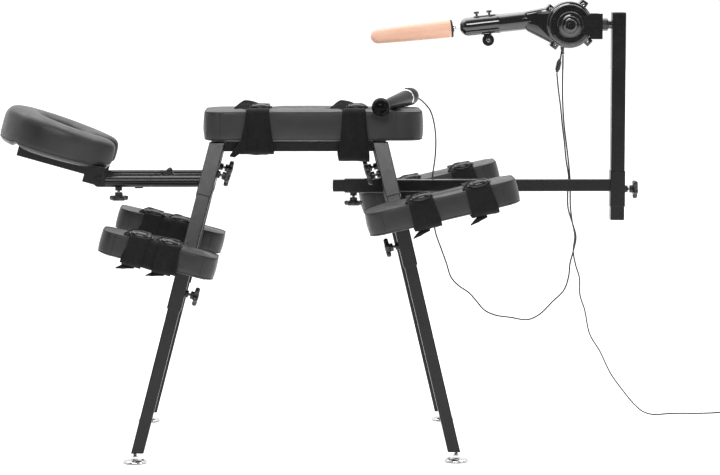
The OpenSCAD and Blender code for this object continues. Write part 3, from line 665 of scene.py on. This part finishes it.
def loop(made, x, half, low, high, wide_top, wide_low, r_top=14, r_low=10, sag=0.0, lift=0.0,
         fold=1.4, seed=0.0, middle=0.0, slant=0.0):
    """A strap right round a pad, wider and looser towards its underside."""
    half, low, high = half + lift, low - lift, high + lift
    corners = [(half - r_top, high - r_top, r_top), (-half + r_top, high - r_top, r_top),
               (-half + r_low, low + r_low, r_low), (half - r_low, low + r_low, r_low)]
    pts = [(cy + r * cos(radians(90 * (q + k / 8))), cz + r * sin(radians(90 * (q + k / 8))))
           for q, (cy, cz, r) in enumerate(corners) for k in range(9)]
    fine = []
    for (y0, z0), (y1, z1) in zip(pts, pts[1:] + pts[:1]):
        count = max(1, int(math.hypot(y1 - y0, z1 - z0) / 8))
        fine += [(y0 + (y1 - y0) * k / count, z0 + (z1 - z0) * k / count) for k in range(count)]
    centres, out, widths = [], [], []
    for i, (y, z) in enumerate(fine):
        (ya, za), (yb, zb) = fine[i - 1], fine[(i + 1) % len(fine)]
        out.append(Vector((0, zb - za, ya - yb)).normalized())
        down = min(max((high - z) / (high - low), 0), 1)
        down = down * down * (3 - 2 * down)
        drop = sag * (1 - (y / half) ** 2) if z < low + r_low else 0
        centres.append((x + slant * down, middle + y, z - drop))
        widths.append((wide_top + (wide_low - wide_top) * down) / 2)
    ribbon(made, centres, [Vector((1, 0, 0))] * len(fine), out, widths, closed=True, fold=fold,
           seed=seed)


def tail(made, points, across, half, seed=0.0):
    """Free end of a strap, cut to a point."""
    path = smooth_route(points, 3)
    across = Vector(across).normalized()
    m = len(path)
    out = []
    for i in range(m):
        along = (path[min(i + 1, m - 1)] - path[max(i - 1, 0)]).normalized()
        out.append(along.cross(across).normalized())
    widths = [half * min(1.0, (m - 1 - i) / (m * 0.45) + 0.12) for i in range(m)]
    ribbon(made, path, [across] * m, out, widths, 1.8, fold=1.0, seed=seed)


def buckle(made, at, long=27, wide=16):
    """Oval buckle: a domed rim round a dished middle, a cross bar, and two side tabs."""
    stretch = at @ Matrix.Diagonal((long, wide, 1, 1))
    made.lathe([(0, 0), (0.94, 0), (0.98, 0.8), (1.0, 3.4), (0.97, 6.2), (0.90, 8.4), (0.80, 9.6),
                (0.74, 9.5), (0.70, 8.3), (0.62, 8.2), (0.56, 9.4), (0.4, 10.6), (0, 11.2)],
               stretch, 44)
    for x in (-long, long):
        made.box((7, 11, 4.5), 1.6, at @ T(x * 0.97, 0, 3.4))


straps, clips = Build(), Build()
for k, (x, low, wide_low, slant) in enumerate(((-163, 744, 84, -2), (76, 727, 76, 1))):
    loop(straps, x, 141, low + 2, 851.8, 58, wide_low, sag=2, fold=2.6, seed=3.1 * k, slant=slant)
    loop(straps, x + 3, 141, low + 5, 851.8, 50, 54, lift=2.8, fold=1.0, seed=7 + k)
    tail(straps, [(x + 6, -96, 857), (x - 14, -100, 864), (x - 36, -105, 866), (x - 58, -112, 858)],
         (0, 0.75, 0.66), 16, 1.7 * k)
    buckle(clips, T(x + 8, -104, 856.5) @ R("X", 14), 25, 17)
tail(straps, [(-188, -143, 768), (-202, -147, 764), (-218, -148, 752), (-232, -146, 741)],
     (0.25, 0, 1), 19, 5)
straps.finish("torso_webbing", "strap_webbing", "frame", ["torso_straps"], sharp=50)
clips.finish("torso_clips", "buckle_plastic", "frame", ["torso_buckles"])

for front, kind, base, tall, width, pad_y, at_x in ((True, "arm", -31, 58, 136, 302, (-122, -48)),
                                                   (False, "knee", -25, 60, 176, 300, (58, 199))):
    for name, side in SIDES.items():
        place = rest_place(front)
        straps, clips = Build(place), Build(place)
        middle = side * pad_y
        half = width / 2 + 0.6
        seed = (2.0 if front else 5.0) + side
        if front:
            loop(straps, -80, half, base - 5.6, base + tall + 1.8, 122, 138, fold=3.0, seed=seed,
                 middle=middle, slant=-4)
        for k, x in enumerate(at_x):
            wide = 44 if front else 60
            loop(straps, x, half, base - 5.6, base + tall + 1.8, wide, wide + (2 if front else 7),
                 lift=3.4 if front else 0.2, fold=1.0 if front else 2.2, seed=seed + k,
                 sag=3, middle=middle, slant=-3 if front else 4)
            top = base + tall + 2
            y = middle - half + 13
            tail(straps, [(x + dx, y + dy, top + dz) for dx, dy, dz in (
                (14, 10, 4), (-8, 8, 8), (-24, 4, 6), (-38, -2, 1))], (0, 0.8, 0.6), 15, seed + k)
            tail(straps, [(x + dx, middle - half + dy, base - dz) for dx, dy, dz in (
                (6, 16, 8), (-12, 12, 12), (-26, 10, 17), (-38, 9, 23))], (0, 1, 0.3), 15, seed - k)
            buckle(clips, T(x + 4, y + 1, top + 3) @ R("X", 22), 27 if front else 26, 15)
        straps.finish(f"{kind}_webbing_{name}", "strap_webbing", f"{kind}_{name}",
                      [f"{kind}_straps_{name}"], sharp=50)
        clips.finish(f"{kind}_clips_{name}", "buckle_plastic", f"{kind}_{name}")

# ---------- knobs, feet and caps ----------


def lobes(a, z):
    return (20.6 + 3.9 * cos(5 * a)) / 24.5 if z >= 13 else 1


for joint in frame["joints"]:
    if "knob_turn" not in joint["name"]:
        continue
    child = joint["child"]
    turned = Vector((0, 0, 1)).rotation_difference(Vector(joint["axis"])).to_matrix().to_4x4()
    knob = Build(Matrix.Translation([c / MM for c in joint["pos_m"]]) @ turned)
    knob.lathe([(0, 4.6), (8.6, 4.6), (10, 6), (10, 12), (11.5, 13)] +
               [(14, 13.01), (21.5, 13.4), (24.0, 15), (24.5, 17.5), (24.5, 20.5), (23.6, 23),
                (21, 24.7), (14, 25), (9.5, 24.1), (9, 24.1), (8.4, 25.2), (5, 25.9), (0, 26.1)],
               None, 80, lobes)
    knob.mat = 1
    knob.lathe([(0, -9), (4, -9)] + [(4 - 0.35 * (i % 2), -8 + i * 0.75) for i in range(17)]
               + [(4, 5), (0, 5)], None, 24)
    knob.finish("star_" + child.replace("_body", ""), "knob_plastic", child,
                [child.replace("_body", "")], extra=[MATERIALS["inner_steel"]])

nut = Build(T(622 + 83, 0, 1062) @ R("Y", 90))
nut.lathe([(6.1, 0), (12.5, 0), (14.2, 1.4), (14.5, 3), (14.5, 14), (14.2, 15.6), (12.5, 17),
           (6.1, 17), (6.1, 0)], None, 96,
          lambda a, z: 1 + (0.075 * max(0, cos(8 * a)) if 1 < z < 16 else 0))
nut.finish("grip_nut", "knob_plastic", "mount_nut_body", ["mount_nut"])

for end, front in (("front", True), ("rear", False)):
    for name, side in SIDES.items():
        foot = Build(T(FOOT_X[front], side * 300, 0))
        foot.lathe([(0, 1.6), (29.6, 1.6), (30, 2.6), (29.7, 4), (28.4, 5.6), (26, 6.8), (17, 8.6),
                    (12, 9.2), (0, 9.2)], None, 64)
        foot.lathe([(0, 9), (8.2, 9), (9, 9.8), (9, 16.2), (8.2, 17), (0, 17)], None, 6)
        foot.lathe([(0, 16.5)] + [(5 - 0.45 * (i % 2), 17 + i * 0.9) for i in range(25)]
                   + [(0, 39)], None, 28)
        foot.mat = 1
        foot.lathe([(0, 0), (28.4, 0), (29, 0.6), (29, 1.8), (0, 1.8)], None, 64)
        foot.finish(f"levelling_foot_{end}_{name}", "foot_steel", f"foot_{end}_{name}_body",
                    [f"foot_{end}_{name}"], sharp=30, extra=[RUBBER])

for name, body, at, size in (
        ("post_cap_top", "post", T(749, 0, 1091.2), (34, 34, 3.4)),
        ("post_cap_low", "post", T(749, 0, 567.8), (34, 34, 3.4)),
        ("boom_cap", "boom", T(26.8, 0, 655) @ R("Y", 90), (29, 29, 3.4))):
    cap = Build(at)
    cap.box(size, 1.6, None, 4)
    cap.box((size[0] - 12, size[1] - 12, size[2] + 0.8), 1.0, None, 3)
    cap.finish(name, "knob_plastic", body)

# ---------- drive unit ----------


def carve(ob, *cuts):
    """Hollows a piece; each cut is (place, radius, length), a cylinder along its place's +Z."""
    for place, radius, length in cuts:
        tool = Build()
        tool.lathe([(0, 0), (radius, 0), (radius, length), (0, length)], place, 72)
        mesh = bpy.data.meshes.new("tool")
        tool.bm.transform(Matrix.Scale(MM, 4))
        tool.bm.to_mesh(mesh)
        tool.bm.free()
        cutter = bpy.data.objects.new("tool", mesh)
        scene.collection.objects.link(cutter)
        cut = ob.modifiers.new("carve", "BOOLEAN")
        cut.operation, cut.solver, cut.use_self, cut.object = "DIFFERENCE", "EXACT", True, cutter
        bpy.context.view_layer.update()
        seen = ob.evaluated_get(bpy.context.evaluated_depsgraph_get())
        done = bpy.data.meshes.new_from_object(seen)
        ob.modifiers.remove(cut)
        ob.data = done
        bpy.data.objects.remove(cutter)
    ob.data.set_sharp_from_angle(angle=radians(38))



# each turns a shape drawn along +Z to face out of one side of the drive
HALVES = (Matrix(((1, 0, 0, 0), (0, 0, 1, 0), (0, 1, 0, 0), (0, 0, 0, 1))), R("X", 90))
housing = Build()
for half in HALVES:
    at = DRIVE @ half
    housing.lathe([(0, 0.4), (58.2, 0.4), (59, 1.4), (59, 27), (58.2, 30), (56, 32.4), (53, 33.2),
                   (51.6, 33.6), (51, 34.6), (50, 35.7), (45, 36), (44.2, 35.1), (42.8, 35.1),
                   (42, 36), (0, 36)], at, 96)
    housing.lathe([(0, 35), (6, 35), (6, 43), (0, 43)], at, 24)
    housing.lathe([(0, 42.5), (33, 42.5), (33, 45.4), (32, 46.5), (23.2, 46.7), (22, 47.6),
                   (22, 49.4), (21, 50.5), (15.2, 50.7), (14, 51.6), (14, 57), (12.5, 58.5),
                   (6.4, 58.5), (5.4, 57.4), (0, 57.4)], at, 56)
    for a in (50, 135, 228, 312):
        lug = at @ R("Z", a) @ T(61, 0, 0)
        housing.box((21, 20, 24), 2.8, lug @ T(0.5, 0, 12), 4)
        housing.mat = 1
        housing.lathe([(0, 23.6), (5, 23.6), (5, 26), (4.4, 26.8), (2.6, 26.8), (2.3, 25.6),
                       (0, 25.6)], lug, 24)
        housing.mat = 0
housing.prism([(-112, 43.8), (-40, 51), (0, 34), (0, -34), (-44, -46), (-112, -1.9)], 46.4, 9,
              DRIVE @ T(0, 23.2, 0) @ R("X", 90))
housing.lathe([(0, 0), (3.5, 0), (3.9, 2.6), (3.3, 3.2), (4.2, 6.4), (3.6, 7), (4.5, 10.2),
               (3.9, 10.8), (4.9, 14), (5, 22), (0, 22)], DRIVE @ T(-20, 12, -74), 28)
housing = housing.finish("drive_housing", "drive_shell", "drive",
                         ["housing_left", "housing_right"], extra=[MATERIALS["chrome"]])
carve(housing, (DRIVE @ T(0, 31, 0) @ R("X", 90), 54, 62),
      (DRIVE @ T(-20, 0, 21) @ R("Y", -90), 15, 110))

nose = Build()
along = DRIVE @ T(0, 0, 21) @ R("Y", -90)
nose.lathe([(0, 96), (23.5, 96), (23.5, 172),
            (24.6, 174), (24.6, 180), (23.5, 182), (23.5, 244), (23.2, 252)]
           + [(23.5 * cos(radians(a)), 252 + 23.5 * sin(radians(a))) for a in range(10, 73, 6)]
           + [(0, 275.4)], along, 72)
nose.box((56, 18, 5), 1.8, DRIVE @ T(-210, 0, 43.6), 4)
for x in (-229, -197):
    nose.lathe([(0, 0), (3, 0), (3, 8), (6, 8.4), (6.4, 9.4), (6.4, 13.2), (5.6, 14.2), (0, 14.2)],
               DRIVE @ T(x, 0, 43), 40, lambda a, z: 1 + (0.06 * cos(14 * a) if z > 8.3 else 0))
boss = DRIVE @ T(-207, 15, -17) @ R("X", 90)
nose.lathe([(0, 0), (13.4, 0), (15, 1.6), (15, 28.4), (13.4, 30), (9, 30), (8.4, 29), (0, 29)],
           boss, 48)
nose.box((20, 24, 20), 3, DRIVE @ T(-207, 0, -8), 4)
nose.mat = 1
nose.lathe([(0, 28.6), (5.4, 28.6), (5.4, 31.4), (4.6, 32.4), (2.6, 32.4), (2.3, 31), (0, 31)],
           boss, 32)
nose = nose.finish("drive_nose", "drive_shell", "drive", ["nose_barrel"],
                   extra=[MATERIALS["chrome"]])
carve(nose, (DRIVE @ T(-60, 0, 21) @ R("Y", -90), 15, 186),
      (DRIVE @ T(-200, 0, 21) @ R("Y", -90), 6.2, 90))

smooth = Build()
smooth.lathe([(0, 0), (18.4, 0), (20.4, 1), (22, 4), (21.6, 24), (21, 60), (20.5, 90), (20, 120),
              (19.2, 148), (18.5, 170), (18.1, 184)]
             + [(18 * cos(radians(a)), 188 + 20 * sin(radians(a))) for a in range(6, 90, 7)]
             + [(0, 208)], DRIVE @ T(-293, 0, 21) @ R("Y", -90), 64)
smooth.mat = 1
smooth.lathe([(6.1, -0.6), (19.8, -0.6), (21.6, 0.4), (22.3, 2.4), (22.3, 4.2), (21.9, 4.6)],
             DRIVE @ T(-293, 0, 21) @ R("Y", -90), 64)
smooth.mat = 2
smooth.lathe([(6.02, -9), (8.4, -9), (9, -8.4), (9, -1.6), (8.4, -0.9), (6.02, -0.9)],
             DRIVE @ T(-293, 0, 21) @ R("Y", -90), 48)
smooth.finish("smooth_attachment", "silicone", "rod", ["attachment"], sharp=60,
              extra=[RUBBER, MATERIALS["chrome"]])

# ---------- wand ----------

wand = Build()
wand.lathe([(0, -23)] + [(23 * cos(radians(a)), 23 * sin(radians(a))) for a in range(-80, 64, 8)]
           + [(9.6, 22.4), (9.2, 26), (10.4, 29), (12, 31), (13, 45), (14, 60), (16, 100),
              (17.5, 150), (19, 200), (20.4, 226)], WAND, 64)
wand.lathe([(20.8, 232.4), (21, 235), (22.2, 250), (23, 262), (22.8, 270), (21.6, 278),
            (18.6, 284.6), (13.6, 289.4), (7, 291.7), (0, 292)], WAND, 64)
wand.mat = 1
wand.lathe([(20.4, 225.6), (21.4, 226.6), (21.7, 229), (21.5, 231.6), (20.8, 232.6)], WAND, 64)
wand = wand.finish("wand_shell_body", "wand_shell", "frame", ["wand_body"], sharp=45,
                   extra=[MATERIALS["chrome"]])
carve(wand, (WAND @ T(0, -13.5, 246) @ R("X", 90), 7.15, 30))

# ---------- floor and light ----------

floor_mat = material("floor", grey(0.86), grey(0.88), (0.22, 0.30), 3)
bpy.ops.mesh.primitive_plane_add(size=40, location=(0, 8, -0.0002))
floor = bpy.context.object
floor.name = "floor"
floor_shader = floor_mat.node_tree.nodes["Principled BSDF"]
floor_shader.inputs["Emission Color"].default_value = (1, 1, 1, 1)
floor_shader.inputs["Emission Strength"].default_value = 0.6
floor.data.materials.append(floor_mat)


def area(name, at, towards, size, power, colour=(1, 1, 1)):
    light = bpy.data.lights.new(name, "AREA")
    light.shape, light.size, light.size_y, light.energy = "RECTANGLE", size[0], size[1], power
    light.color = colour
    ob = bpy.data.objects.new(name, light)
    scene.collection.objects.link(ob)
    ob.location = at
    ob.rotation_euler = (Vector(towards) - Vector(at)).to_track_quat("-Z", "Y").to_euler()


area("top_softbox", (0, 1.2, 3.8), (0, 0, 0.6), (6.0, 3.0), 150)
area("key", (-0.6, -4.4, 4.0), (0, 0, 0.8), (3.4, 1.2), 140)
area("side", (3.4, -2.4, 2.2), (0.2, 0, 0.8), (0.8, 1.8), 22)

world = bpy.data.worlds.new("studio")
scene.world = world
world.use_nodes = True
# white studio wall all round, with a dark stretch in front of the object
background = world.node_tree.nodes["Background"]
background.inputs[0].default_value = (1, 1, 1, 1)
facing = chain(world.node_tree, "ShaderNodeSeparateXYZ", Vector=chain(
    world.node_tree, "ShaderNodeTexCoord").outputs["Generated"]).outputs["Y"]
level = chain(world.node_tree, "ShaderNodeMapRange", Value=facing, From_Min=-0.45, From_Max=0.1,
              To_Min=0.10, To_Max=1.05)
world.node_tree.links.new(level.outputs["Result"], background.inputs[1])
scene.view_settings.view_transform = "Standard"
